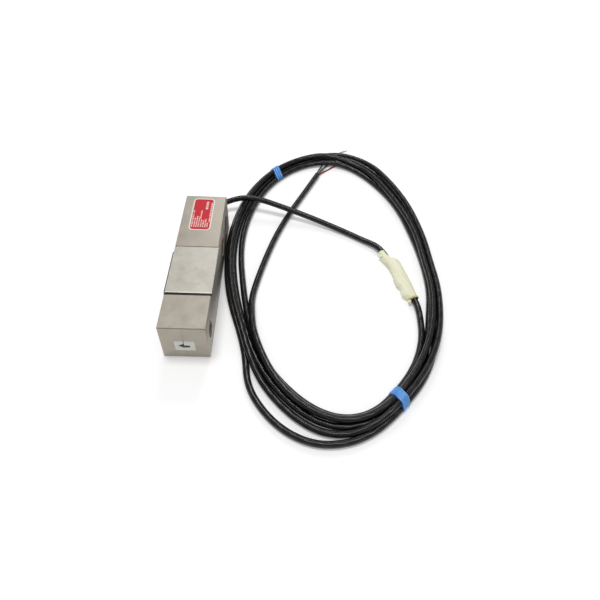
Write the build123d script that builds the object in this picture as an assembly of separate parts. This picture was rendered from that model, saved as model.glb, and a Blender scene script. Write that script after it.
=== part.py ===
from build123d import *
import math
import os

# Single-ended shear beam load cell, lying on its side with its gauge covers up and down.
# X runs across the beam and is its loading direction, Y runs along it towards the fixed end,
# where the cable leaves, and Z is up. The origin is under the middle of the block.

# Beam block
beam_length = 130.0
beam_side = 31.0
edge_break = 0.5

# Cross holes, along X at half height
mount_hole_dia = 13.5
mount_hole_from_end = 15.7
mount_hole_pitch = 25.4
load_hole_tap_dia = 11.5
load_hole_from_end = 12.7
mount_hole_break = 0.4
load_hole_break = 0.8

# Milled flats for the gauge covers, one above and one below
flat_from_fixed_end = 56.5
flat_length = 46.0
flat_depth = 1.6

# Blind gauge pockets, one each side of the shear web
pocket_dia = 22.0
pocket_floor_radius = 0.6
web_thickness = 5.0

# Cover plates on their bed of black sealant
cover_thickness = 1.0
cover_end_bevel = 0.7
cover_end_bevel_run = 1.5
cover_fit_gap = 0.15
groove_width = 1.7
groove_fill_below_face = 0.6
bed_thickness = 0.3
bead_proud = 0.7
bead_height = 1.1
bead_round = 0.3
bead_from_shoulder = 5.9
bead_to_groove = 2.6

# Shear gauges, terminal boards and bridge resistors, potted in the pockets
gauge_side = 7.6
gauge_thickness = 0.15
grid_length = 4.4
grid_width = 2.0
grid_thickness = 0.05
grid_from_centre = 1.7
board_width = 6.4
board_depth = 3.4
board_thickness = 0.8
board_from_pocket_wall = 1.8
resistor_dia = 2.2
resistor_length = 5.0
resistor_from_centre = 7.0

# Wires inside the beam
passage_dia = 3.2
passage_height = 5.6
core_dia = 1.0
core_gap = 0.06
core_bend = 1.7
web_hole_dia = 2.2
web_hole_from_centre = (5.4, 7.1)
jumper_dia = 0.5
jumper_pitch = 0.62
jumper_bend = 0.5

# Cable entry in the fixed end
gland_height = 6.5
gland_shank_dia = 8.4
gland_shank_length = 7.0
gland_shank_fit = 0.05
gland_collar_dia = 10.0
gland_collar_length = 1.2
gland_neck_dia = 8.0
gland_neck_length = 2.2
gland_bore_dia = 5.1
gland_seal_dia = 6.6
gland_seal_length = 4.0
gland_cap_dia = 10.0
gland_cap_wall = 0.9
gland_cap_fit = 0.05
gland_cap_flutes = 12
gland_flute_dia = 0.9

# Label and sticker, bare plates here, and the scribed centre line of the free end
label_width = 16.2
label_length = 36.3
label_corner = 3.2
label_thickness = 0.12
label_from_fixed_end = 3.4
label_off_centre = -0.85
sticker_width = 13.2
sticker_height = 10.0
sticker_thickness = 0.12
sticker_centre_height = 12.8
scribe_width = 0.3
scribe_depth = 0.15

# Cable, and the outer shape of its coil
cable_dia = 4.7
wire_dia = 1.3
coil_height = 9.1
coil_edge_radius = 3.0
coil_inner_centre = (99.2, 22.7)
coil_inner_half_axes = (68.2, 129.0)
coil_inner_turn = 2.4
coil_outer_centre = (98.6, 23.4)
coil_wall_side = 13.0
coil_wall_end = 18.1
wire_arch_low = (90.0, 144.0)
wire_arch_high = (124.0, 184.0)
wire_arch_height = 1.5

# The one turn that stands off from the tied bundle, as (angle, distance outwards) of the inner oval
loose_turn_height = 2.4
loose_turn = [
    (-70, 9.5), (-80, 14.0), (-88, 17.8), (-96, 21.6), (-104, 24.0), (-112, 24.2), (-120, 23.4),
    (-128, 21.4), (-136, 17.2), (-145, 10.5),
]

# Tape ties round the coil, placed by the angle of the coil's inner oval
tape_thickness = 0.6
tape_round = 3.4
tape_slack = 0.7
tape_turn = -15.0
upper_tape_angle = 127.5
upper_tape_width = 5.2
lower_tape_angle = -59.5
lower_tape_width = 6.2

# Splice sleeve between the lead and the coil: its sections as
# (distance from the start, distance off the line between the ends, width, height)
splice_start = (140.8, 35.5)
splice_end = (158.3, -10.8)
splice_height = 7.0
splice_sections = [
    (0.0, 0.6, 6.0, 5.8), (8.0, 0.0, 8.6, 6.4), (14.0, -2.0, 10.6, 7.0), (30.0, 0.0, 11.4, 7.0),
    (43.0, 1.2, 11.0, 6.6), (49.5, 0.5, 7.0, 5.8),
]

# Cable routes, chosen point by point along the cable as it lies
lead_route = [
    (0.0, 61.0, 6.5), (0.0, 74.0, 6.5), (6.2, 82.8, 7.4), (16.5, 87.4, 10.2), (26.5, 88.4, 15.0),
    (40.0, 86.2, 15.2), (53.0, 82.6, 12.6), (70.0, 77.4, 9.4), (90.0, 70.4, 4.8), (111.0, 60.0, 2.6),
    (126.4, 50.8, 2.6), (136.4, 44.0, 3.5), (140.8, 35.5, 3.5),
]
out_route = [
    (158.3, -10.8, 3.5), (160.5, -18.2, 3.5), (161.0, -28.0, 2.4), (160.9, -39.0, 2.4),
    (159.2, -51.0, 2.4),
]
tail_route = [
    (45.8, -53.0, 2.4), (40.4, -37.0, 2.4), (38.2, -18.0, 2.4), (42.2, 3.0, 2.4), (47.3, 26.0, 2.4),
    (54.6, 53.0, 2.4), (64.5, 80.0, 2.4), (77.5, 109.0, 2.4), (90.8, 139.4, 2.4),
]
wire_routes = {
    "wire_black": [
        (90.07, 139.72, 1.6), (91.67, 143.38, 1.6), (92.9, 149.6, 0.66), (96.4, 157.8, 0.66),
        (102.9, 171.4, 0.66),
    ],
    "wire_white": [
        (90.07, 139.72, 3.2), (91.67, 143.38, 3.2), (95.0, 149.2, 0.8), (100.4, 159.2, 0.66),
        (106.4, 169.4, 0.66), (112.6, 175.9, 0.66), (119.4, 179.3, 0.66),
    ],
    "wire_green": [
        (91.53, 139.08, 3.2), (93.13, 142.74, 3.2), (97.6, 149.2, 1.0), (103.4, 157.6, 0.66),
        (112.7, 168.4, 0.66),
    ],
    "wire_red": [
        (91.53, 139.08, 1.6), (93.13, 142.74, 1.6), (99.2, 147.2, 0.7), (107.0, 153.9, 0.66),
        (118.2, 163.5, 0.66),
    ],
}
bend_share = 0.45

# Places worked out from the sizes above
half_length = beam_length / 2
half_side = beam_side / 2
mount_hole_ys = [half_length - mount_hole_from_end - i * mount_hole_pitch for i in range(2)]
load_hole_y = load_hole_from_end - half_length
shoulder_y = half_length - flat_from_fixed_end
flat_end_y = shoulder_y - flat_length
flat_z = beam_side - flat_depth
plate_end_y = flat_end_y + groove_width
plate_z = flat_z + bed_thickness
pocket_y = (shoulder_y + flat_end_y) / 2
web_z = half_side + web_thickness / 2
board_y = pocket_y + pocket_dia / 2 - board_from_pocket_wall - board_depth / 2
gland_seat_y = half_length - gland_shank_length
collar_end_y = half_length + gland_collar_length
neck_end_y = collar_end_y + gland_neck_length
cap_end_y = neck_end_y + gland_cap_wall
coil_outer_half_axes = (coil_inner_half_axes[0] + coil_wall_side, coil_inner_half_axes[1] + coil_wall_end)


def underside(shape):
    """The same piece turned over to the lower face of the beam."""
    return mirror(shape, about=Plane.XY.offset(half_side))


def block(x0, x1, y0, y1, z0, z1):
    """A box between two corners."""
    return Pos((x0 + x1) / 2, (y0 + y1) / 2, (z0 + z1) / 2) * Box(x1 - x0, y1 - y0, z1 - z0)


def rod_y(y0, y1, diameter, z, x=0.0):
    """A round rod along Y from y0 to y1."""
    return Pos(x, (y0 + y1) / 2, z) * Rot(90, 0, 0) * Cylinder(diameter / 2, y1 - y0)


def cross_hole(y, bore, mouth_break):
    """A hole right through along X with a broken edge at each mouth."""
    hole = Pos(0, y, half_side) * Rot(0, 90, 0) * Cylinder(bore / 2, beam_side)
    mouth = Cone(bore / 2, bore / 2 + mouth_break, mouth_break)
    reach = half_side - mouth_break / 2
    hole += Pos(reach, y, half_side) * Rot(0, 90, 0) * mouth
    return hole + Pos(-reach, y, half_side) * Rot(0, -90, 0) * mouth


def pocket_form():
    """The blind round pocket above the web, with the radius its cutter leaves."""
    form = Pos(0, pocket_y, web_z) * Cylinder(
        pocket_dia / 2, flat_z - web_z, align=(Align.CENTER, Align.CENTER, Align.MIN))
    floor_edge = form.edges().filter_by(GeomType.CIRCLE).sort_by(Axis.Z)[0]
    return fillet(floor_edge, pocket_floor_radius)


def make_beam():
    """The nickel-plated steel block with its flats, pockets, cross holes and cable passage."""
    body = Pos(0, 0, half_side) * Box(beam_side, beam_length, beam_side)
    body = chamfer(body.edges(), edge_break)
    flat = block(-beam_side, beam_side, flat_end_y, shoulder_y, flat_z, beam_side + flat_depth)
    pocket = pocket_form()
    body -= flat
    body -= underside(flat)
    body -= pocket
    body -= underside(pocket)
    for y in mount_hole_ys:
        body -= cross_hole(y, mount_hole_dia, mount_hole_break)
    body -= cross_hole(load_hole_y, load_hole_tap_dia, load_hole_break)
    body -= rod_y(gland_seat_y, half_length, gland_shank_dia, gland_height)
    body -= rod_y(pocket_y, gland_seat_y, passage_dia, passage_height)
    body -= web_hole()
    body -= block(-scribe_width / 2, scribe_width / 2, -half_length - scribe_depth,
                  -half_length + scribe_depth, 0, beam_side)
    return body


def web_hole():
    """The small hole that joins the two pockets beside the terminal boards."""
    dx, dy = web_hole_from_centre
    return Pos(dx, pocket_y + dy, half_side) * Cylinder(web_hole_dia / 2, web_thickness)


def make_cover():
    """A thin cover plate over the whole width of the flat, its free end bevelled."""
    plate = block(-half_side, half_side, plate_end_y, shoulder_y - cover_fit_gap,
                  plate_z, plate_z + cover_thickness)
    end_edge = plate.edges().filter_by(Axis.X).group_by(Axis.Y)[0].sort_by(Axis.Z)[-1]
    top_face = plate.faces().sort_by(Axis.Z)[-1]
    return chamfer(end_edge, cover_end_bevel_run, cover_end_bevel, reference=top_face)


def make_sealant(with_bead):
    """Sealant bed under a cover, the filled groove at its end and the bead squeezed out."""
    seal = block(-half_side, half_side, plate_end_y, shoulder_y - cover_fit_gap, flat_z, plate_z)
    seal += block(-half_side, half_side, flat_end_y, plate_end_y, flat_z,
                  beam_side - groove_fill_below_face)
    if with_bead:
        bead = block(-half_side - bead_proud, -half_side, flat_end_y + bead_to_groove,
                     shoulder_y - bead_from_shoulder, flat_z, flat_z + bead_height)
        outer_edges = bead.edges().filter_by(Axis.Y).group_by(Axis.X)[0]
        seal += fillet(outer_edges, bead_round)
    return seal


def make_gauge():
    """A foil shear gauge on the web, its two grids at plus and minus 45 degrees."""
    gauge = Pos(0, pocket_y, web_z + gauge_thickness / 2) * Rot(0, 0, 45) * Box(
        gauge_side, gauge_side, gauge_thickness)
    grid_z = web_z + gauge_thickness + grid_thickness / 2
    for side in (-1, 1):
        gauge += Pos(side * grid_from_centre, pocket_y, grid_z) * Rot(0, 0, 45 * side) * Box(
            grid_length, grid_width, grid_thickness)
    return gauge


def make_board():
    """A small terminal board glued to the web between the gauge and the pocket wall."""
    board = Pos(0, board_y, web_z + board_thickness / 2) * Box(
        board_width, board_depth, board_thickness)
    return chamfer(board.edges().filter_by(Axis.Z), board_thickness / 4)


def make_resistors():
    """Two bridge resistors lying on the lower side of the web."""
    z = web_z + resistor_dia / 2
    return [rod_y(pocket_y - resistor_length / 2, pocket_y + resistor_length / 2, resistor_dia,
                  z, side * resistor_from_centre) for side in (-1, 1)]


def swept_rod(points, radii, diameter):
    """A round rod along straight runs joined by tangent arcs."""
    line = FilletPolyline(*points, radius=radii)
    start = Plane(origin=points[0], z_dir=Vector(*points[1]) - Vector(*points[0]))
    return sweep(start * Circle(diameter / 2), path=line), line.length


def make_cores():
    """Four insulated cores from the jacket's end through the passage to the lower board."""
    cores = []
    pitch = (core_dia + core_gap) / 2
    board_under_z = beam_side - web_z - board_thickness
    for x in (-pitch, pitch):
        for dz in (-pitch, pitch):
            z = passage_height + dz
            points = [(x, lead_route[0][1], z), (x, board_y + dz, z), (x, board_y + dz, board_under_z)]
            cores.append(swept_rod(points, [core_bend - dz], core_dia)[0])
    return cores


def make_jumpers():
    """Three fine wires through the web, from the upper board to the lower one."""
    x, dy = web_hole_from_centre
    top = web_z + board_thickness / 2
    jumpers = []
    for i in (-1, 0, 1):
        y = pocket_y + dy + i * jumper_pitch
        points = [(board_width / 2, y, top), (x, y, top), (x, y, beam_side - top),
                  (board_width / 2, y, beam_side - top)]
        jumpers.append(swept_rod(points, [jumper_bend] * 2, jumper_dia)[0])
    return jumpers


def make_potting(buried):
    """Soft potting that fills a pocket round everything buried in it."""
    fill = pocket_form()
    for piece in buried:
        fill -= piece
    return fill


def make_gland():
    """The gland body screwed into the fixed end, with its collar, neck and seal seat."""
    gland = rod_y(gland_seat_y, half_length, gland_shank_dia - 2 * gland_shank_fit, gland_height)
    gland += rod_y(half_length, collar_end_y, gland_collar_dia, gland_height)
    gland += rod_y(collar_end_y, neck_end_y, gland_neck_dia, gland_height)
    gland -= rod_y(gland_seat_y, neck_end_y, gland_bore_dia, gland_height)
    gland -= rod_y(neck_end_y - gland_seal_length, neck_end_y, gland_seal_dia, gland_height)
    return gland


def make_gland_seal():
    """The rubber ring that grips the cable."""
    seal = rod_y(neck_end_y - gland_seal_length, neck_end_y, gland_seal_dia, gland_height)
    return seal - rod_y(gland_seat_y, cap_end_y, cable_dia, gland_height)


def make_gland_cap():
    """The low fluted cap that presses the seal."""
    cap = rod_y(collar_end_y, cap_end_y, gland_cap_dia, gland_height)
    cap -= rod_y(collar_end_y, neck_end_y, gland_neck_dia + 2 * gland_cap_fit, gland_height)
    cap -= rod_y(neck_end_y, cap_end_y, gland_bore_dia, gland_height)
    for i in range(gland_cap_flutes):
        turn = 2 * math.pi * i / gland_cap_flutes
        cap -= rod_y(collar_end_y, cap_end_y, gland_flute_dia,
                     gland_height + gland_cap_dia / 2 * math.cos(turn),
                     gland_cap_dia / 2 * math.sin(turn))
    return cap


def make_label():
    """The thin plate label on the fixed end of the upper face."""
    y = half_length - label_from_fixed_end - label_length / 2
    outline = RectangleRounded(label_width, label_length, label_corner)
    return Pos(label_off_centre, y, beam_side) * extrude(outline, label_thickness)


def make_sticker():
    """The thin sticker on the free end, which shows the loading direction."""
    return Pos(0, -half_length - sticker_thickness / 2, sticker_centre_height) * Box(
        sticker_width, sticker_thickness, sticker_height)


def corner_radii(points):
    """For each corner, the share of the shorter run over the tangent of half the turn."""
    radii = []
    for before, here, after in zip(points, points[1:], points[2:]):
        run_in, run_out = Vector(*here) - Vector(*before), Vector(*after) - Vector(*here)
        half_turn = math.radians(run_in.get_angle(run_out)) / 2
        radii.append(bend_share * min(run_in.length, run_out.length) / math.tan(half_turn))
    return radii


def make_cable(name, points, diameter):
    """One free stretch of cable or wire, with its radii and its volume printed."""
    radii = corner_radii(points)
    solid, length = swept_rod(points, radii, diameter)
    section = math.pi * diameter ** 2 / 4
    print(f"{name}: length {length:.1f}, smallest radius {min(radii) / diameter:.1f} diameters,",
          f"volume over section times length {solid.volume / (section * length):.4f}")
    print("  radii", [round(r, 1) for r in radii])
    return solid


def oval(centre, half_axes, turn, height):
    """An upright oval block standing on the floor."""
    return Pos(*centre, 0) * Rot(0, 0, turn) * extrude(Ellipse(*half_axes), height)


def inner_oval(angle):
    """A point of the coil's inner oval and the direction outwards from there."""
    a = math.radians(angle)
    du, dv = coil_inner_half_axes
    turned = Location((*coil_inner_centre, 0), (0, 0, coil_inner_turn))
    centre = turned * Pos(0, 0, 0)
    on = turned * Pos(du * math.cos(a), dv * math.sin(a), 0)
    off = turned * Pos(dv * math.cos(a), du * math.sin(a), 0)
    return on.position, (off.position - centre.position).normalized()


def make_loose_turn():
    """The cable's one turn that stands off from the bundle; both its ends go into the bundle."""
    points = []
    for angle, outwards in loose_turn:
        on, outward = inner_oval(angle)
        place = on + outward * outwards
        points.append((place.X, place.Y, loose_turn_height))
    return swept_rod(points, corner_radii(points), cable_dia)[0]


def make_coil(ends):
    """The outer shape of the whole coil, raised over the stripped wires, and open for the cable."""
    coil = oval(coil_outer_centre, coil_outer_half_axes, 0, coil_height)
    coil -= oval(coil_inner_centre, coil_inner_half_axes, coil_inner_turn, coil_height)
    coil = fillet(coil.edges().filter_by(GeomType.ELLIPSE), coil_edge_radius)
    coil += make_loose_turn()
    coil -= block(wire_arch_low[0], wire_arch_high[0], wire_arch_low[1], wire_arch_high[1],
                  0, wire_arch_height)
    for end in ends:
        coil -= end
    return coil


def coil_frame(angle):
    """The middle of the coil's wall at an angle of its ovals, its outward turn and its width."""
    a = math.radians(angle)
    inner, _ = inner_oval(angle)
    along = Vector(-coil_outer_half_axes[0] * math.sin(a), coil_outer_half_axes[1] * math.cos(a))
    outer = Vector(coil_outer_centre[0] + coil_outer_half_axes[0] * math.cos(a),
                   coil_outer_centre[1] + coil_outer_half_axes[1] * math.sin(a))
    outward = Vector(along.Y, -along.X).normalized()
    width = (outer - inner).dot(outward)
    return (inner + outer) * 0.5, math.degrees(math.atan2(outward.Y, outward.X)), width


def make_tape(coil, angle, width_along):
    """A tape tie wrapped close round the coil; its underside lies on the floor."""
    middle, outward, width = coil_frame(angle)
    place = Pos(middle.X, middle.Y, 0) * Rot(0, 0, outward + tape_turn)
    across = width / math.cos(math.radians(tape_turn)) + 2 * (tape_thickness + tape_slack)
    low_centre = (Align.CENTER, Align.CENTER, Align.MIN)
    wrap = Box(across, width_along, coil_height + tape_thickness, align=low_centre)
    wrap = place * fillet(wrap.edges().filter_by(Axis.Y), tape_round)
    inside = coil - place * Box(2 * across, 2 * width_along, tape_thickness, align=low_centre)
    return wrap - inside


def make_splice():
    """The wrapped splice: a flattened sleeve, uneven as it was wound by hand."""
    start = Vector(*splice_start)
    along = (Vector(*splice_end) - start).normalized()
    across = Vector(along.Y, -along.X)
    sections = []
    for at, off, width, height in splice_sections:
        middle = start + along * at + across * off
        plane = Plane(origin=(middle.X, middle.Y, splice_height / 2), x_dir=across, z_dir=along)
        sections.append(plane * SlotOverall(width, height))
    return loft(sections, ruled=True)


def build():
    """Every piece by its name."""
    gauge, board, jumpers, cores = make_gauge(), make_board(), make_jumpers(), make_cores()
    resistors = [underside(resistor) for resistor in make_resistors()]
    lower_buried = [underside(gauge), underside(board), *resistors, *jumpers, *cores]
    pieces = {
        "beam_body": make_beam(),
        "cover_plate_upper": make_cover(),
        "cover_plate_lower": underside(make_cover()),
        "sealant_upper": make_sealant(True),
        "sealant_lower": underside(make_sealant(False)),
        "potting_upper": make_potting([gauge, board, *jumpers]),
        "potting_lower": underside(make_potting([underside(piece) for piece in lower_buried])),
        "shear_gauge_upper": gauge,
        "shear_gauge_lower": underside(gauge),
        "terminal_board_upper": board,
        "terminal_board_lower": underside(board),
        "bridge_resistors": resistors,
        "jumper_wires": jumpers,
        "cable_cores": cores,
        "gland_body": make_gland(),
        "gland_seal": make_gland_seal(),
        "gland_cap": make_gland_cap(),
        "rating_label": make_label(),
        "arrow_sticker": make_sticker(),
        "cable_lead": make_cable("cable_lead", lead_route, cable_dia),
        "cable_out": make_cable("cable_out", out_route, cable_dia),
        "cable_tail": make_cable("cable_tail", tail_route, cable_dia),
    }
    for name, route in wire_routes.items():
        pieces[name] = make_cable(name, route, wire_dia)
    pieces["splice_sleeve"] = make_splice() - pieces["cable_lead"] - pieces["cable_out"]
    coil = make_coil([pieces["cable_out"], pieces["cable_tail"]])
    pieces["tape_tie_upper"] = make_tape(coil, upper_tape_angle, upper_tape_width)
    pieces["tape_tie_lower"] = make_tape(coil, lower_tape_angle, lower_tape_width)
    pieces["cable_coil"] = coil - pieces["tape_tie_upper"] - pieces["tape_tie_lower"]
    return pieces


os.makedirs("parts", exist_ok=True)
for name, piece in build().items():
    solids = piece if isinstance(piece, list) else piece.solids()
    export_step(Compound(children=list(solids)), f"parts/{name}.step")
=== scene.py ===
import math
import bmesh
import bpy
from mathutils import Matrix, Vector


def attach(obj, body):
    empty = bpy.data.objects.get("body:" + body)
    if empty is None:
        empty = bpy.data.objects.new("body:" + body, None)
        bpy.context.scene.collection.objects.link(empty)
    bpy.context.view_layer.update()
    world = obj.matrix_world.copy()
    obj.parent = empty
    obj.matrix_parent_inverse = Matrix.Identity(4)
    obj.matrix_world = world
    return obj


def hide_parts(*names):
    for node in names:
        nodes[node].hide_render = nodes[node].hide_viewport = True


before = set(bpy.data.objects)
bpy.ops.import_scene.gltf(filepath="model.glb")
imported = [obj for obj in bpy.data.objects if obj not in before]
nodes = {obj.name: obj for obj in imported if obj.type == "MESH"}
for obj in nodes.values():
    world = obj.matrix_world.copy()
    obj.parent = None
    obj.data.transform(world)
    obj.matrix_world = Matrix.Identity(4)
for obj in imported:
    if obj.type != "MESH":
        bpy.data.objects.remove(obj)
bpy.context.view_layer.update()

MM = 0.001

# Camera, as the photograph was taken; its lens is in millimetres
camera_place = Vector((65.8, -256.0, 288.4)) * MM
camera_pitch = math.radians(49.83)
camera_yaw = math.radians(2.1)
camera_roll = math.radians(3.24)
camera_lens = 30.79


def make_camera():
    """Looks down over the free end of the beam, a little turned and rolled."""
    data = bpy.data.cameras.new("photo_camera")
    data.lens = camera_lens
    data.sensor_fit = "HORIZONTAL"
    data.clip_start, data.clip_end = 0.01, 10
    camera = bpy.data.objects.new("photo_camera", data)
    bpy.context.collection.objects.link(camera)
    turn = (Matrix.Rotation(-camera_yaw, 4, "Z") @ Matrix.Rotation(math.pi / 2 - camera_pitch, 4, "X")
            @ Matrix.Rotation(camera_roll, 4, "Z"))
    camera.matrix_world = Matrix.Translation(camera_place) @ turn
    bpy.context.scene.camera = camera


make_camera()


# Nodes and colours
def linear(code):
    """The linear colour of an sRGB hex code."""
    values = [int(code[i:i + 2], 16) / 255 for i in (1, 3, 5)]
    return (*(v / 12.92 if v <= 0.04045 else ((v + 0.055) / 1.055) ** 2.4 for v in values), 1.0)


def grain(size):
    """A texture's scale, on coordinates in metres, for features of this size in millimetres."""
    return 1 / (size * MM)


def add(tree, kind, links=None, **settings):
    """Adds a node; links maps its inputs to plain values or to other nodes' outputs."""
    node = tree.nodes.new("ShaderNode" + kind)
    for name, value in settings.items():
        setattr(node, name, value)
    for socket, source in (links or {}).items():
        if isinstance(source, bpy.types.NodeSocket):
            tree.links.new(source, node.inputs[socket])
        else:
            node.inputs[socket].default_value = source
    return node


def start_material(name, **shader_values):
    """An empty material with its shader; values are given by the shader's own socket names."""
    material = bpy.data.materials.new(name)
    material.use_nodes = True
    tree = material.node_tree
    shader = tree.nodes["Principled BSDF"]
    for socket, value in shader_values.items():
        shader.inputs[socket.replace("_", " ")].default_value = value
    return material, tree, shader


def object_place(tree, stretch=(1, 1, 1), turn=0.0):
    """Object coordinates, turned about Z, then closer together along an axis with stretch over 1."""
    place = add(tree, "TexCoord").outputs["Object"]
    turned = add(tree, "Mapping", {"Vector": place, "Rotation": (0, 0, turn)}).outputs["Vector"]
    return add(tree, "Mapping", {"Vector": turned, "Scale": stretch}).outputs["Vector"]


def noise(tree, place, size, detail=4.0, roughness=0.55):
    """Noise with features of a size in millimetres."""
    return add(tree, "TexNoise", {"Vector": place, "Scale": grain(size), "Detail": detail,
                                  "Roughness": roughness}).outputs["Fac"]


def spread(tree, value, low, high, start=0.3, end=0.7):
    """Moves values from start and end to low and high."""
    return add(tree, "MapRange", {"Value": value, "From Min": start, "From Max": end,
                                  "To Min": low, "To Max": high}).outputs["Result"]


def blend_colours(tree, share, first, second):
    """A mix of two colours, each a hex code or another node's output."""
    first, second = (linear(c) if isinstance(c, str) else c for c in (first, second))
    mix = add(tree, "Mix", {"Factor": share, 6: first, 7: second}, data_type="RGBA")
    return mix.outputs[2]


def rough_up(tree, shader, height, depth, strength=1.0, under=None):
    """Bumps a shader by a height field; depth is in millimetres."""
    links = {"Height": height, "Distance": depth * MM, "Strength": strength}
    if under is not None:
        links["Normal"] = under
    bump = add(tree, "Bump", links)
    tree.links.new(bump.outputs["Normal"], shader.inputs["Normal"])
    return bump.outputs["Normal"]


# Materials
def ground_nickel_plate(name, colour, worn, smudges=()):
    """Ground steel under matt nickel plate: a warm grey satin with fine lines along the beam."""
    material, tree, shader = start_material(name, Metallic=1.0)
    lines = noise(tree, object_place(tree, (1, 0.05, 1)), 0.22, 3)
    clouds = noise(tree, object_place(tree), 9.0, 5, 0.6)
    tint = blend_colours(tree, spread(tree, clouds, 0, 1), worn, colour)
    tint = blend_colours(tree, spread(tree, lines, 0, 0.3), tint, worn)
    for place, size, depth in smudges:
        there = add(tree, "VectorMath", {0: object_place(tree), 1: Vector(place) * MM},
                    operation="DISTANCE").outputs["Value"]
        ragged = add(tree, "Math", {0: noise(tree, object_place(tree), 1.5), 1: size * MM, 2: there},
                     operation="MULTIPLY_ADD").outputs["Value"]
        share = spread(tree, ragged, depth, 0, size * smudge_core * MM, size * smudge_edge * MM)
        tint = blend_colours(tree, share, tint, smudge_colour)
    tree.links.new(tint, shader.inputs["Base Color"])
    tree.links.new(spread(tree, clouds, 0.4, 0.5), shader.inputs["Roughness"])
    rough_up(tree, shader, lines, 0.012, 0.5)
    return material


def nickel_plated_brass():
    """Turned brass under bright nickel: smoother and a little yellower than the beam."""
    material, tree, shader = start_material("nickel_plated_brass", Metallic=1.0)
    mottle = noise(tree, object_place(tree), 0.5, 3)
    tree.links.new(blend_colours(tree, mottle, "#A8A090", "#C9C2B2"), shader.inputs["Base Color"])
    tree.links.new(spread(tree, mottle, 0.22, 0.34), shader.inputs["Roughness"])
    rough_up(tree, shader, mottle, 0.01, 0.4)
    return material


def silicone_sealant():
    """Black RTV silicone, squeezed out and left: soft sheen over a slightly lumpy skin."""
    material, tree, shader = start_material("silicone_sealant", IOR=1.41)
    lumps = noise(tree, object_place(tree), 1.6, 3)
    tree.links.new(blend_colours(tree, lumps, "#08080A", "#141416"), shader.inputs["Base Color"])
    tree.links.new(spread(tree, lumps, 0.45, 0.6), shader.inputs["Roughness"])
    rough_up(tree, shader, lumps, 0.15, 0.6)
    return material


def plain_plastic(name, dark, light, size, roughness, depth, IOR=1.46, **values):
    """A moulded or coated plastic: one colour with a fine mottle, a satin gloss and a faint skin."""
    material, tree, shader = start_material(name, IOR=IOR, **values)
    mottle = noise(tree, object_place(tree), size)
    tree.links.new(blend_colours(tree, mottle, dark, light), shader.inputs["Base Color"])
    low, high = roughness
    tree.links.new(spread(tree, mottle, low, high), shader.inputs["Roughness"])
    rough_up(tree, shader, mottle, depth, 0.5)
    return material


def pvc_cable_jacket():
    """Black glossy PVC that shows the braid under it: a fine twist breaks its long highlights."""
    material, tree, shader = start_material("pvc_cable_jacket", IOR=1.46)
    along_around = add(tree, "SeparateXYZ", {"Vector": add(tree, "TexCoord").outputs["UV"]})
    along, around = along_around.outputs["X"], along_around.outputs["Y"]

    def twist(lobes, lay):
        """Ridges side by side round the cable; each goes round it once in its lay, in millimetres."""
        turn = add(tree, "Math", {0: along, 1: math.tau * lobes / (lay * MM)}, operation="MULTIPLY")
        phase = add(tree, "Math", {0: around, 1: math.tau * lobes, 2: turn.outputs[0]},
                    operation="MULTIPLY_ADD")
        return add(tree, "Math", {0: phase.outputs[0]}, operation="SINE").outputs[0]

    scuff = noise(tree, object_place(tree), 2.6, 5, 0.65)
    # Pale speckles: partly dust, partly painted glints that break up the long highlights
    dust_and_glints = spread(tree, noise(tree, object_place(tree), 0.7, 3), 0, 0.45, 0.6, 0.74)
    tint = blend_colours(tree, spread(tree, scuff, 0, 1), "#060607", "#0D0E0F")
    tint = blend_colours(tree, dust_and_glints, tint, "#5E5A52")
    tree.links.new(tint, shader.inputs["Base Color"])
    tree.links.new(spread(tree, scuff, 0.1, 0.2), shader.inputs["Roughness"])
    braid = rough_up(tree, shader, twist(lobes=8, lay=11.0), 0.06, 0.8)
    cores = rough_up(tree, shader, twist(lobes=4, lay=40.0), 0.07, 0.6, braid)
    rough_up(tree, shader, scuff, 0.05, 0.5, cores)
    return material


def cloth_wrap(name, dark, light):
    """Cream adhesive cloth tape, wound by hand: matt, folded lengthwise and a little see-through."""
    material, tree, shader = start_material(
        name, Roughness=0.6, IOR=1.45, Subsurface_Weight=0.12, Subsurface_Scale=1.0,
        Subsurface_Radius=(1.2 * MM, 1.0 * MM, 0.6 * MM))
    folds = noise(tree, object_place(tree, (1, 0.18, 1), splice_turn), 2.4, 4, 0.55)
    creases = noise(tree, object_place(tree), 3.4, 5, 0.6)
    weave = noise(tree, object_place(tree), 0.5, 2)
    # Painted shade: the tape is darker in the hollows of its folds and paler on their ridges
    tint = blend_colours(tree, spread(tree, folds, 0, 1), dark, light)
    tree.links.new(tint, shader.inputs["Base Color"])
    woven = rough_up(tree, shader, weave, 0.05, 0.4)
    folded = rough_up(tree, shader, folds, 0.6, 0.7, woven)
    rough_up(tree, shader, creases, 0.6, 0.6, folded)
    return material


def stretched_tape():
    """Blue vinyl tape pulled tight: satin, each wrap with painted light and shade: paler at its raised
    edge, darker towards the other.
    """
    material, tree, shader = start_material("stretched_tape", IOR=1.5)
    marks = noise(tree, object_place(tree), 1.3, 4, 0.6)
    share = add(tree, "Attribute", attribute_name="wrap_shade_place").outputs["Fac"]
    tint = blend_colours(tree, spread(tree, marks, 0, 1), "#4799EE", "#86CBFF")
    # Painted shade: each wrap darkens across its width, away from its raised edge
    tint = blend_colours(tree, spread(tree, share, 0, 0.9, -0.6, 1), tint, "#1F5FBA")
    tree.links.new(tint, shader.inputs["Base Color"])
    tree.links.new(spread(tree, marks, 0.26, 0.42), shader.inputs["Roughness"])
    rough_up(tree, shader, marks, 0.1, 0.5)
    return material


def tinned_copper():
    """Stripped strands of tinned copper: a dull grey metal with a strand's twist."""
    material, tree, shader = start_material("tinned_copper", Metallic=1.0)
    strands = noise(tree, object_place(tree, (1, 1, 0.4)), 0.25, 2)
    tree.links.new(blend_colours(tree, strands, "#7C7A76", "#B9B6B0"), shader.inputs["Base Color"])
    tree.links.new(spread(tree, strands, 0.35, 0.5), shader.inputs["Roughness"])
    rough_up(tree, shader, strands, 0.05, 0.8)
    return material


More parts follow.
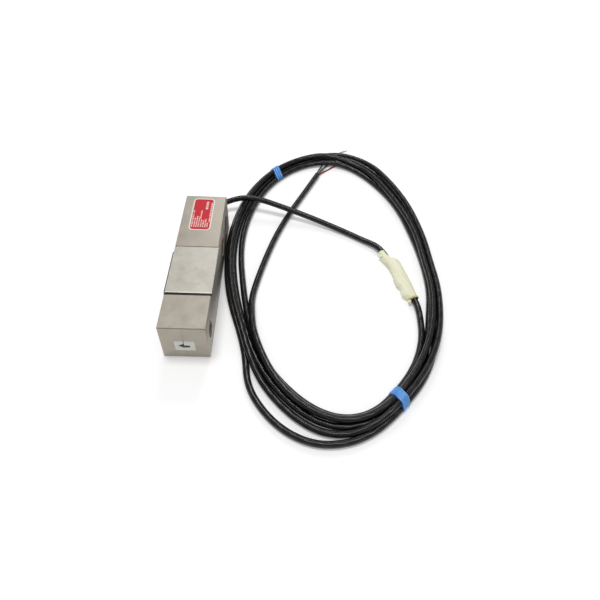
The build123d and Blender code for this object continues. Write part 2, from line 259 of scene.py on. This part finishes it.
# The splice's own direction, for the folds of its wrap, and the smudges on the cover plate as
# (place, size, depth of colour), each full out to its core and gone at its edge, in shares of its size
splice_turn = math.radians(-20.7)
smudge_colour = "#6E6F62"
smudge_core = 0.5
smudge_edge = 1.4
plate_smudges = [((-10.6, -0.8, 30.7), 1.6, 0.30), ((1.9, -12.8, 30.7), 2.0, 0.22),
                 ((5.3, -27.0, 30.7), 2.0, 0.22)]
beam_steel = ground_nickel_plate("ground_nickel_plate", "#B2ABA0", "#A39C91")
cover_steel = ground_nickel_plate("rolled_nickel_plate", "#C5C1B8", "#B1ADA3", plate_smudges)
sealant = silicone_sealant()
plated_brass = nickel_plated_brass()
cable_jacket = pvc_cable_jacket()
splice_tape = cloth_wrap("cream_cloth_tape", "#F0EDCA", "#FBF9E2")
splice_adhesive = cloth_wrap("yellowed_adhesive", "#B5A85E", "#D8CF8C")
blue_tape = stretched_tape()
strand_copper = tinned_copper()
label_film = plain_plastic("white_label_film", "#DADBD2", "#E6E7DF", 2.0, (0.3, 0.42), 0.01)
label_red = plain_plastic("red_label_ink", "#C41A27", "#D22833", 1.4, (0.45, 0.55), 0.01,
                          Specular_IOR_Level=0.3)
label_pale = plain_plastic("pale_label_ink", "#E5B2AE", "#F3DAD4", 0.8, (0.4, 0.5), 0.01)
sticker_paper = plain_plastic("coated_sticker_paper", "#E2E1DA", "#EFEEE8", 1.2, (0.6, 0.75), 0.02)
arrow_ink = plain_plastic("black_arrow_ink", "#26262A", "#3B3B42", 0.8, (0.5, 0.65), 0.01)
wire_shades = {"black": ("#171718", "#242426"), "white": ("#A4ACA0", "#C2C8BD"),
               "green": ("#2A4638", "#3D5F4E"), "red": ("#7C0410", "#960A16")}
wire_colours = {
    "wire_" + colour: plain_plastic(colour + "_wire_pvc", dark, light, 0.8, (0.3, 0.42), 0.01)
    for colour, (dark, light) in wire_shades.items()
}
filler_yarn = plain_plastic("cable_filler", "#6E7066", "#A3A597", 0.5, (0.6, 0.75), 0.05)

# Materials of the pieces inside, by node; a lower piece is dressed as its upper one
inner_materials = {
    "potting_upper": plain_plastic("silicone_gel", "#5C5648", "#726B5A", 4.0, (0.2, 0.32), 0.03),
    "shear_gauge_upper": plain_plastic("polyimide_foil", "#A8641E", "#C58233", 0.9, (0.3, 0.4), 0.01),
    "terminal_board_upper": plain_plastic("glass_epoxy_board", "#1B4D30", "#266A42", 0.7,
                                          (0.35, 0.5), 0.02),
    "bridge_resistors": plain_plastic("resistor_lacquer", "#A98C5C", "#C2A678", 0.6, (0.3, 0.4), 0.02),
    "jumper_wires": plain_plastic("enamelled_copper", "#8C4A22", "#B06A34", 0.5, (0.25, 0.35), 0.01,
                                  Metallic=1.0),
    "cable_cores": plain_plastic("core_insulation", "#6F6F6C", "#8E8E8A", 0.9, (0.35, 0.45), 0.01),
    "gland_seal": plain_plastic("nitrile_rubber", "#141414", "#1F1F1F", 0.9, (0.55, 0.7), 0.03),
}


def dress(node, material):
    """Gives a node of the frame its material."""
    for slot in nodes[node].material_slots:
        slot.material = material


def dress_frame():
    """Gives every node that stays in view or inside its material."""
    dress("beam_body", beam_steel)
    for side in ("upper", "lower"):
        dress("cover_plate_" + side, cover_steel)
        dress("sealant_" + side, sealant)
    for node in ("gland_body", "gland_cap"):
        dress(node, plated_brass)
    dress("rating_label", label_film)
    dress("arrow_sticker", sticker_paper)
    for node, material in inner_materials.items():
        dress(node, material)
        if node.endswith("_upper"):
            dress(node.replace("_upper", "_lower"), material)


dress_frame()


# New pieces
def add_piece(mesh, name, material, smooth=True):
    """Makes an object of a mesh, in place, on the part's one body."""
    mesh.materials.append(material)
    mesh.polygons.foreach_set("use_smooth", [smooth] * len(mesh.polygons))
    piece = bpy.data.objects.new(name, mesh)
    bpy.context.collection.objects.link(piece)
    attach(piece, "root")
    return piece


def finish_piece(bm, name, material, smooth=True):
    """Makes an object of a bmesh, which is freed."""
    mesh = bpy.data.meshes.new(name)
    bm.to_mesh(mesh)
    bm.free()
    return add_piece(mesh, name, material, smooth)


# Cable: its route in millimetres, from the gland through the splice and the coil to its stripped end
cable_diameter = 4.7
lead_route = [
    (0.0, 61.0, 6.5), (0.0, 67.0, 6.5), (0.6, 74.6, 6.6), (5.4, 82.6, 7.4), (14.8, 87.2, 9.2),
    (26.5, 88.4, 12.2), (40.0, 86.2, 12.2), (53.0, 82.6, 10.4), (70.0, 77.4, 7.6), (90.0, 70.4, 4.4),
    (111.0, 60.0, 2.6), (125.4, 50.6, 2.6), (135.6, 43.8, 3.5), (140.8, 35.5, 3.5),
]
splice_points = [(146.6, 20.2, 3.5), (152.5, 4.5, 3.5)]
out_route = [(158.3, -10.8, 3.5), (160.4, -18.2, 3.1), (161.0, -28.0, 2.4)]
tail_route = [
    (40.7, -30.5, 5.5), (39.4, -14.0, 2.5), (42.4, 4.0, 2.4), (47.3, 26.0, 2.4),
    (54.6, 53.0, 2.4), (64.5, 80.0, 2.4), (77.5, 109.0, 2.4), (89.7, 136.8, 2.4),
]

# The coil's inner oval, and each turn's lane on it as (clockwise angle, distance outwards, layer), in
# degrees and millimetres; a turn in the upper layer nests between the two that it lies on
oval_centre = Vector((99.2, 22.7))
oval_half_axes = (68.2, 129.0)
oval_turn = math.radians(2.4)
floor_layer = cable_diameter / 2
layer_rise = 4.07
lay_step = 10
coil_turns = [
    [(33, 0.6, 0), (44, 1.6, 0), (57, 0.6, 0), (64, 0.3, 0), (72, 1.6, 0), (88, 3.0, 0),
     (104, 1.8, 0), (120, 0.9, 0), (136, 2.3, 0), (146, 1.7, 0), (160, 1.2, 0), (168, 0.2, 0),
     (176, 1.4, 0), (184, 2.8, 0), (192, 3.9, 0), (208, 4.4, 0), (224, 3.9, 0), (248, 1.9, 0),
     (264, 2.1, 0), (288, 4.3, 0), (304, 3.6, 0), (312, 3.2, 0), (328, 3.9, 0), (344, 2.5, 0)],
    [(0, 3.4, 0), (8, 4.7, 0), (16, 4.7, 0), (24, 3.4, 0), (33, 4.6, 0), (44, 6.2, 0), (57, 5.2, 0),
     (72, 6.3, 0), (96, 9.4, 0), (112, 7.6, 0), (128, 6.5, 0), (136, 6.9, 0), (152, 5.4, 0),
     (168, 6.4, 0), (184, 8.8, 0), (208, 9.3, 0), (224, 8.6, 0), (248, 6.6, 0), (264, 6.8, 0),
     (288, 15.6, 0), (304, 14.2, 0), (312, 13.2, 0), (320, 12.8, 0), (328, 11.6, 0), (336, 9.8, 0),
     (352, 7.8, 0)],
    [(0, 8.0, 0), (8, 9.4, 0), (20, 9.0, 0), (33, 9.8, 0), (44, 10.9, 0), (57, 9.6, 0), (64, 8.9, 0),
     (72, 11.0, 0), (80, 14.0, 0), (88, 17.4, 0), (96, 21.6, 0), (104, 24.0, 0), (112, 24.1, 0),
     (120, 23.2, 0), (128, 21.6, 0), (136, 18.4, 0), (144, 8.6, 0), (152, 9.4, 0), (168, 11.9, 0),
     (184, 13.2, 0), (208, 14.2, 0), (224, 13.6, 0), (248, 11.2, 0), (264, 11.4, 0), (272, 14.0, 0),
     (280, 18.6, 0), (288, 20.9, 0), (296, 20.2, 0.2), (304, 16.6, 0.9), (312, 13.6, 1),
     (320, 12.2, 1.05), (328, 11.6, 1.1), (336, 9.9, 1.12), (352, 8.8, 1.1)],
    [(0, 7.8, 1.12), (8, 9.8, 1.1), (20, 10.8, 1), (33, 11.2, 1), (44, 9.6, 1.1), (57, 7.3, 1),
     (64, 7.0, 1), (72, 8.5, 1), (88, 12.9, 0.1), (96, 15.3, 0), (112, 12.9, 0), (128, 11.3, 0),
     (136, 11.8, 0.3), (144, 8.2, 1), (152, 7.8, 1), (168, 9.2, 1), (184, 11.0, 1), (208, 11.8, 1),
     (224, 10.6, 1), (248, 7.9, 1), (264, 7.7, 1), (272, 8.4, 1.1), (288, 10.0, 0.1), (296, 9.4, 0.3),
     (304, 7.2, 0.8), (312, 5.0, 1), (320, 3.9, 1.05), (328, 3.6, 1.1), (344, 4.5, 1.1)],
    [(0, 3.2, 1.12), (8, 5.2, 1.12), (20, 5.9, 1.1), (33, 5.6, 1.1), (57, 2.9, 1), (72, 4.0, 1),
     (88, 6.0, 1), (104, 5.2, 1), (128, 3.6, 1), (136, 2.6, 1.1), (150, 0.6, 1)],
]

# Where the bundle lies on the stripped wires, as angles, and how far they lift it
wires_under_coil_at = 275
wires_under_coil_spread = 14
wires_under_coil_rise = 1.4


def oval_point(angle, outwards=0.0):
    """A point outwards from the coil's inner oval, with the oval's outward and forward directions."""
    a = -math.radians(angle)
    on = Vector((oval_half_axes[0] * math.cos(a), oval_half_axes[1] * math.sin(a)))
    normal = Vector((on.x / oval_half_axes[0] ** 2, on.y / oval_half_axes[1] ** 2)).normalized()
    turned = Matrix.Rotation(oval_turn, 2)
    outward = turned @ normal
    return oval_centre + turned @ on + outward * outwards, outward, Vector((outward.y, -outward.x))


def lane_point(angle, outwards, layer):
    """A point of the coil; the bundle rises a little where it lies on the stripped wires."""
    place, _, _ = oval_point(angle, outwards)
    over = (angle - wires_under_coil_at) / wires_under_coil_spread
    rise = wires_under_coil_rise * math.exp(-over * over)
    return (place.x, place.y, floor_layer + layer_rise * layer + rise)


def coil_stations():
    """All the turns' stations in one list, with angles that go on from turn to turn."""
    return [(360 * turn + angle, outwards, layer)
            for turn, lanes in enumerate(coil_turns) for angle, outwards, layer in lanes]


def lane_at(stations, at):
    """How far outwards and how high the cable lies at an angle, between two stations."""
    before, after = [pair for pair in zip(stations, stations[1:]) if pair[0][0] <= at + 1e-6][-1]
    share = min(1, (at - before[0]) / (after[0] - before[0]))
    return [b + (a - b) * share for b, a in zip(before[1:], after[1:])]


def coil_points():
    """Points along all the turns, evenly spaced in angle."""
    stations = coil_stations()
    first, last = stations[0][0], stations[-1][0]
    count = round((last - first) / lay_step)
    angles = [first + (last - first) * i / count for i in range(count + 1)]
    return [lane_point(at % 360, *lane_at(stations, at)) for at in angles]


def make_line(name, points, diameter):
    """A round curve on one smooth line; its points are in millimetres."""
    data = bpy.data.curves.new(name, "CURVE")
    data.dimensions = "3D"
    data.bevel_depth = diameter / 2 * MM
    data.bevel_resolution = 4
    data.resolution_u = 6
    data.use_fill_caps = True
    spline = data.splines.new("NURBS")
    spline.points.add(len(points) - 1)
    for point, place in zip(spline.points, points):
        point.co = (*(Vector(place) * MM), 1)
    spline.order_u = 3
    spline.use_endpoint_u = True
    return data


def mesh_of(data):
    """The mesh that a curve gives; the curve itself is removed."""
    probe = bpy.data.objects.new("probe", data)
    mesh = bpy.data.meshes.new_from_object(probe)
    bpy.data.objects.remove(probe)
    bpy.data.curves.remove(data)
    return mesh


def line_of(data):
    """The points that a curve's own line passes, and how far along it each one is."""
    plain = data.copy()
    plain.bevel_depth = 0
    mesh = mesh_of(plain)
    places = [v.co.copy() for v in mesh.vertices]
    bpy.data.meshes.remove(mesh)
    reached = [0.0]
    for before, after in zip(places, places[1:]):
        reached.append(reached[-1] + (after - before).length)
    return places, reached


def make_tube(name, points, diameter, material):
    """A cord as a mesh tube, whose map holds the metres along it and the share of a turn round it."""
    data = make_line(name + "_line", points, diameter)
    places, reached = line_of(data)
    mesh = mesh_of(data)
    mesh.name = name
    mesh.materials.clear()
    last = len(places) - 1
    for corner in mesh.uv_layers[0].data:
        ring = min(last, max(0, round(corner.uv.x * last)))
        corner.uv = (reached[ring], corner.uv.y)
    return add_piece(mesh, name, material), places, reached[-1]


def make_cable():
    """The whole cable in one run: lead, through the splice, the coil's turns and the loose end."""
    route = lead_route + splice_points + out_route + coil_points() + tail_route
    cable, line, length = make_tube("cable", route, cable_diameter, cable_jacket)
    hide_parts("cable_lead", "cable_out", "cable_coil", "cable_tail")


# Stripped wires, each from the jacket's cut end, in millimetres
wire_diameter = 1.3
strand_diameter = 0.75
strand_taper = 0.8
strand_inside = 0.5
bare_length = 3.6
wire_routes = {
    "wire_black": [
        (89.0, 137.1, 3.2), (90.8, 142.0, 3.2), (92.7, 148.6, 1.4), (96.4, 157.8, 0.66),
        (102.9, 171.4, 0.66),
    ],
    "wire_white": [
        (89.8, 137.0, 1.5), (92.0, 142.0, 1.0), (94.9, 147.2, 0.66), (100.4, 159.2, 0.66),
        (106.4, 169.4, 0.66), (112.6, 175.9, 0.66), (119.4, 179.3, 0.66),
    ],
    "wire_green": [
        (90.4, 136.5, 3.2), (92.5, 141.4, 3.3), (95.0, 146.4, 2.6), (98.0, 151.2, 0.9),
        (103.4, 157.6, 0.66), (112.7, 168.4, 0.66),
    ],
    "wire_red": [
        (90.4, 136.5, 1.6), (93.0, 140.5, 1.4), (99.2, 146.5, 0.7), (107.0, 153.5, 0.66),
        (118.2, 163.5, 0.66),
    ],
}
filler_length = 2.4
filler_inside = 0.4
filler_radii = (1.9, 0.7)


def rod_between(bm, start, end, radius_start, radius_end, segments=14):
    """A round rod or cone between two points in millimetres."""
    run = Vector(end) - Vector(start)
    place = (Matrix.Translation((Vector(start) + Vector(end)) / 2)
             @ run.to_track_quat("Z", "Y").to_matrix().to_4x4())
    bmesh.ops.create_cone(bm, cap_ends=True, segments=segments, radius1=radius_start,
                          radius2=radius_end, depth=run.length, matrix=Matrix.Scale(MM, 4) @ place)


def make_wires():
    """Four insulated wires, each with a short end of bare tinned strand."""
    for name, route in wire_routes.items():
        tip, before = Vector(route[-1]), Vector(route[-2])
        back = (before - tip).normalized()
        cut = tip + back * bare_length
        wire, line, length = make_tube(name + "_insulation", route[:-1] + [tuple(cut)], wire_diameter,
                                       wire_colours[name])
        bm = bmesh.new()
        rod_between(bm, cut + back * strand_inside, tip, strand_diameter / 2,
                    strand_diameter / 2 * strand_taper)
        finish_piece(bm, name + "_strand", strand_copper)
        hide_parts(name)


def make_filler():
    """The pale filler that shows between the wires where the jacket is cut."""
    end, before = Vector(tail_route[-1]), Vector(tail_route[-2])
    along = (end - before).normalized()
    bm = bmesh.new()
    rod_between(bm, end - along * filler_inside, end + along * filler_length, *filler_radii)
    finish_piece(bm, "cable_filler", filler_yarn)


# Splice wrap and its yellowed lower edge: (distance along, its two edges across, height), as the
# hand-wound tape bulges; and its loose ends: (root, tip, radius at the root, radius at the tip)
splice_start = Vector((140.8, 35.5, 0))
splice_end = Vector((158.3, -10.8, 0))
splice_outline = [
    (-1.0, -1.2, 4.4, 6.3), (3.5, -1.5, 4.8, 6.4), (7.5, -3.0, 4.6, 6.5), (9.0, -5.6, 4.1, 6.6),
    (11.0, -7.3, 3.8, 6.8), (14.5, -7.3, 3.2, 7.0), (21.6, -6.7, 3.6, 7.0), (29.0, -6.1, 5.6, 7.0),
    (33.5, -5.6, 6.5, 6.9), (35.5, -5.4, 5.9, 6.8), (37.3, -5.1, 4.9, 6.7), (40.2, -4.7, 5.6, 6.6),
    (43.8, -4.3, 6.9, 6.4), (46.2, -3.9, 6.1, 6.2), (48.4, -3.4, 4.1, 5.9), (50.3, -3.1, 3.6, 5.6),
]
splice_edge = [
    (48.9, -3.3, 3.9, 5.8), (49.2, -3.7, 4.4, 6.3), (50.4, -3.8, 4.6, 6.3), (50.8, -3.4, 4.2, 5.9),
]
splice_loose_ends = [
    ((4.6, 3.4, 4.6), (2.2, 6.6, 4.4), 1.4, 0.25), ((50.0, 3.6, 3.2), (52.8, 4.2, 2.6), 1.5, 0.9),
]
splice_along = (splice_end - splice_start).normalized()
splice_across = Vector((splice_along.y, -splice_along.x, 0))


def splice_place(at, across, height):
    """A point on the splice, from its distances along and across and its height."""
    return splice_start + splice_along * at + splice_across * across + Vector((0, 0, height))


def wind_round_splice(name, outline, material):
    """Tape wound round the splice: one loft through an uneven outline, open at both ends."""
    bm = bmesh.new()
    turned = Matrix((splice_across, Vector((0, 0, 1)), splice_along)).transposed().to_4x4()
    rings = []
    for at, low, high, height in outline:
        place = Matrix.Translation(splice_place(at, (low + high) / 2, height / 2))
        size = Matrix.Diagonal(((high - low) / 2, height / 2, 1, 1))
        ring = bmesh.ops.create_circle(bm, segments=32, radius=1,
                                       matrix=Matrix.Scale(MM, 4) @ place @ turned @ size)
        edges = {e for v in ring["verts"] for e in v.link_edges}
        if rings:
            bmesh.ops.bridge_loops(bm, edges=list(edges | rings[-1]))
        rings.append(edges)
    bmesh.ops.recalc_face_normals(bm, faces=bm.faces)
    return finish_piece(bm, name, material)


def make_splice():
    """The cream wrap, its yellowed lower edge and the loose ends of its tape."""
    wrap = wind_round_splice("splice_wrap", splice_outline, splice_tape)
    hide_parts("splice_sleeve")
    wind_round_splice("splice_adhesive_edge", splice_edge, splice_adhesive)
    bm = bmesh.new()
    for root, tip, radius_root, radius_tip in splice_loose_ends:
        rod_between(bm, splice_place(*root), splice_place(*tip), radius_root, radius_tip, segments=8)
    finish_piece(bm, "splice_tape_end", splice_tape)


# Tape ties: (name, node, clockwise angle and distance outwards of its middle, turn from the coil's
# outward direction, width along the coil, wraps, slack). The slack is a round that the tape also goes
# about: its distance outwards from the innermost strand, its height and its radius. A wrap's profile
# is (place across it from -1 to 1, thickness).
strand_search_steps = 4
tape_profile = ((-1, 0.22), (-0.82, 0.62), (0, 0.52), (0.82, 0.36), (1, 0.22))
tape_ties = [
    ("tape_tie_upper_end", "tape_tie_upper", 237.8, 7.9, -23.7, 6.6, 3, None),
    ("tape_tie_lower_end", "tape_tie_lower", 63.6, 5.1, -9.0, 6.6, 5, (0.6, 5.2, 2.1)),
]


def strands_across(tie_frame, angle, along):
    """The strands' middles where they pass a tie, at a distance along the coil from its middle."""
    stations = coil_stations()
    mean_radius = sum(oval_half_axes) / 2
    found = []
    for turn in range(len(coil_turns)):
        at = angle + 360 * turn
        if not stations[0][0] <= at <= stations[-1][0]:
            continue
        for _ in range(strand_search_steps):
            spot = tie_frame @ Vector(lane_point(at % 360, *lane_at(stations, at)))
            at += math.degrees((along - spot.y) / mean_radius)
        found.append((spot.x, spot.z, cable_diameter / 2))
    return found


def make_tape_tie(name, node, angle, outwards, turn, width, wraps, slack):
    """Turns of tape side by side, each one pulled round the strands it holds."""
    centre, outward, _ = oval_point(angle, outwards)
    outward = Matrix.Rotation(math.radians(turn), 2) @ outward
    forward = Vector((outward.y, -outward.x, 0))
    place = Matrix.Translation(centre.to_3d()) @ Matrix(
        (outward.to_3d(), forward, Vector((0, 0, 1)))).transposed().to_4x4()
    bm = bmesh.new()
    # The place across each wrap, from -1 to 1, which the tape's painted light and shade reads
    wrap_shade_place = bm.verts.layers.float.new("wrap_shade_place")
    for i in range(wraps):
        half = width / wraps / 2
        middle = (i + 0.5) / wraps * width - width / 2
        made = []
        for share, thick in tape_profile:
            along = middle + half * share
            rounds = strands_across(place.inverted(), angle, along)
            if slack:
                rounds.append((min(rounds)[0] + slack[0], *slack[1:]))
            for across, height, radius in rounds:
                spot = Vector((across, along, max(height, radius + thick)))
                ring = bmesh.ops.create_circle(
                    bm, segments=24, radius=radius + thick,
                    matrix=Matrix.Scale(MM, 4) @ place @ Matrix.Translation(spot)
                    @ Matrix.Rotation(math.pi / 2, 4, "X"))
                for v in ring["verts"]:
                    v[wrap_shade_place] = share
                made += ring["verts"]
        hull = bmesh.ops.convex_hull(bm, input=made)
        bmesh.ops.delete(bm, geom=hull["geom_interior"], context="VERTS")
    bmesh.ops.recalc_face_normals(bm, faces=bm.faces)
    tie = finish_piece(bm, name, blue_tape)
    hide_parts(node)


# Print on the label, in millimetres; a row of dashes is (across, start, length, width)
ink_thickness = 0.02
label_middle = Vector((-0.85, 43.45, 31.12))
label_size = (16.2, 36.3)
label_border = 1.0
label_corner = 2.3
label_lines = [
    (2.0, 3.4, 15.5, 1.0), (2.0, 17.6, 4.6, 0.8), (3.7, 3.4, 10.4, 0.9), (5.3, 3.4, 12.6, 1.0),
    (6.9, 3.4, 11.6, 0.9), (7.7, 13.0, 9.6, 1.0), (8.6, 3.4, 8.6, 0.9), (10.2, 3.4, 8.2, 1.0),
    (11.8, 3.4, 9.4, 0.9), (13.3, 3.4, 5.4, 1.0), (14.4, 9.4, 22.0, 1.1), (11.0, 23.6, 9.2, 1.8),
]
dash_lengths = (1.5, 0.8, 2.1, 1.1, 0.6, 1.8)
dash_gap = 0.45
dash_shortest = 0.3


def add_plate(bm, middle, size, corner=0.0, turn=0.0):
    """A thin plate with its middle, size and rounded corners in millimetres."""
    place = Matrix.Translation(Vector(middle)) @ Matrix.Rotation(turn, 4, "Y")
    made = bmesh.ops.create_cube(bm, size=1, matrix=Matrix.Scale(MM, 4) @ place
                                 @ Matrix.Diagonal((*size, 1)))
    if corner:
        upright = {e for v in made["verts"] for e in v.link_edges
                   if (e.verts[0].co - e.verts[1].co).xy.length < 1e-7}
        bmesh.ops.bevel(bm, geom=list(upright), affect="EDGES", offset=corner * MM, segments=8,
                        profile=0.5, material=-1)


# Sealant in the cover's end groove, the print on the sticker and the load hole's thread
groove_bead_middle = (0, -36.15, 30.3)
groove_bead_size = (31.5, 2.5, 0.5)
groove_bead_round = 0.14
sticker_face = -65.12
arrow_head_middle = (-1.65, 12.9)
arrow_head_size = (2.8, 2.65)
arrow_strokes = [((1.5, 12.2), (3.5, 2.1), 3), ((-0.7, 16.6), (0.5, 2.2), -12)]
load_hole_middle = (-52.3, 15.5)
thread_pitch = 1.27
thread_radius = 5.75
thread_depth = 0.32
thread_half_width = 0.5
thread_reach = 14.0


def make_groove_bead():
    """Sealant that stands in the groove at the cover's free end and creeps up its bevel."""
    bm = bmesh.new()
    made = bmesh.ops.create_cube(
        bm, size=1, matrix=Matrix.Scale(MM, 4) @ Matrix.Translation(groove_bead_middle)
        @ Matrix.Diagonal((*groove_bead_size, 1)))
    bmesh.ops.bevel(bm, geom=list({e for v in made["verts"] for e in v.link_edges}), affect="EDGES",
                    offset=groove_bead_round * MM, segments=3, profile=0.5, material=-1)
    finish_piece(bm, "groove_sealant", sealant)


def make_label_print():
    """The label's red field, and plain pale dashes where its small print is."""
    bm = bmesh.new()
    add_plate(bm, label_middle + Vector((0, 0, ink_thickness / 2)),
              (label_size[0] - 2 * label_border, label_size[1] - 2 * label_border, ink_thickness),
              label_corner)
    finish_piece(bm, "label_red_field", label_red, smooth=False)
    bm = bmesh.new()
    corner = label_middle - Vector((label_size[0] / 2, label_size[1] / 2, 0))
    step = 0
    for across, start, length, width in label_lines:
        at = start
        while at < start + length - dash_shortest:
            dash = min(dash_lengths[step % len(dash_lengths)], start + length - at)
            add_plate(bm, corner + Vector((across, at + dash / 2, ink_thickness * 1.5)),
                      (width, dash, ink_thickness))
            at += dash + dash_gap
            step += 1
    finish_piece(bm, "label_pale_print", label_pale, smooth=False)


def make_arrow():
    """The sticker's black arrow for the loading direction, with the short mark over it."""
    bm = bmesh.new()
    front = sticker_face - ink_thickness / 2
    facing = Matrix(((0, -1, 0), (0, 0, -1), (1, 0, 0))).to_4x4()
    across, height = arrow_head_middle
    place = Matrix.Translation((across, front, height)) @ facing
    bmesh.ops.create_cone(bm, cap_ends=True, segments=3, radius1=1, radius2=1, depth=1,
                          matrix=Matrix.Scale(MM, 4) @ place
                          @ Matrix.Diagonal((*arrow_head_size, ink_thickness, 1)))
    for (across, height), (length, width), turn in arrow_strokes:
        add_plate(bm, (across, front, height), (length, ink_thickness, width), turn=math.radians(turn))
    finish_piece(bm, "arrow_ink", arrow_ink, smooth=False)


def make_thread():
    """The thread of the load hole: one ridge wound along its wall."""
    turns = int(2 * thread_reach / thread_pitch)
    bm = bmesh.new()
    along, height = load_hole_middle
    place = Matrix.Translation((-thread_reach, along, height + thread_radius))
    ridge = bmesh.ops.create_circle(
        bm, segments=3, radius=1, matrix=Matrix.Scale(MM, 4) @ place @ Matrix.Rotation(math.pi / 2, 4, "X")
        @ Matrix.Diagonal((thread_half_width, -thread_depth, 1, 1)))
    edges = list({e for v in ridge["verts"] for e in v.link_edges})
    steps = 24
    bmesh.ops.spin(bm, geom=ridge["verts"] + edges, cent=Vector((-thread_reach, along, height)) * MM,
                   axis=(1, 0, 0), dvec=(thread_pitch * MM / steps, 0, 0), angle=math.tau * turns,
                   steps=steps * turns, use_merge=False, use_duplicate=False)
    bmesh.ops.recalc_face_normals(bm, faces=bm.faces)
    finish_piece(bm, "load_hole_thread", beam_steel)


make_splice()
for tie in tape_ties:
    make_tape_tie(*tie)
make_filler()
make_cable()
make_wires()
make_groove_bead()
make_label_print()
make_arrow()
make_thread()


# Floor and light, in metres and watts: a softbox is (name, place, tilt, size, energy)
floor_reach = 4
floor_glow = 0.2
room_light = 0.42
softboxes = [
    ("softbox_overhead", (-0.15, 0.1, 1.7), 0.0, 0.5, 12.2),
    ("softbox_rear", (0.1, 1.5, 1.2), -0.9, 0.5, 6.0),
]


def make_studio():
    """A plain pale table under two softboxes, in an even white room."""
    bm = bmesh.new()
    bmesh.ops.create_grid(bm, x_segments=1, y_segments=1, size=floor_reach)
    mesh = bpy.data.meshes.new("floor")
    bm.to_mesh(mesh)
    bm.free()
    material, tree, shader = start_material("white_table", Roughness=0.9)
    shader.inputs["Base Color"].default_value = linear("#FAFAFA")
    rays = add(tree, "LightPath").outputs
    seen = add(tree, "Math", {0: rays["Is Camera Ray"], 1: rays["Is Glossy Ray"]}, operation="ADD")
    seen = add(tree, "Math", {0: seen.outputs[0], 1: rays["Is Transmission Ray"]}, operation="ADD")
    glow = add(tree, "Math", {0: seen.outputs[0], 1: floor_glow}, operation="MULTIPLY")
    shader.inputs["Emission Color"].default_value = (1, 1, 1, 1)
    tree.links.new(glow.outputs[0], shader.inputs["Emission Strength"])
    mesh.materials.append(material)
    floor = bpy.data.objects.new("floor", mesh)
    bpy.context.collection.objects.link(floor)
    for name, place, tilt, size, energy in softboxes:
        light = bpy.data.lights.new(name, "AREA")
        light.energy, light.size = energy, size
        lamp = bpy.data.objects.new(name, light)
        lamp.location = place
        lamp.rotation_euler = (tilt, 0, 0)
        bpy.context.collection.objects.link(lamp)
    world = bpy.data.worlds.new("studio")
    bpy.context.scene.world = world
    world.use_nodes = True
    world.node_tree.nodes["Background"].inputs["Color"].default_value = (1, 1, 1, 1)
    world.node_tree.nodes["Background"].inputs["Strength"].default_value = room_light


make_studio()
bpy.context.scene.view_settings.view_transform = "Standard"
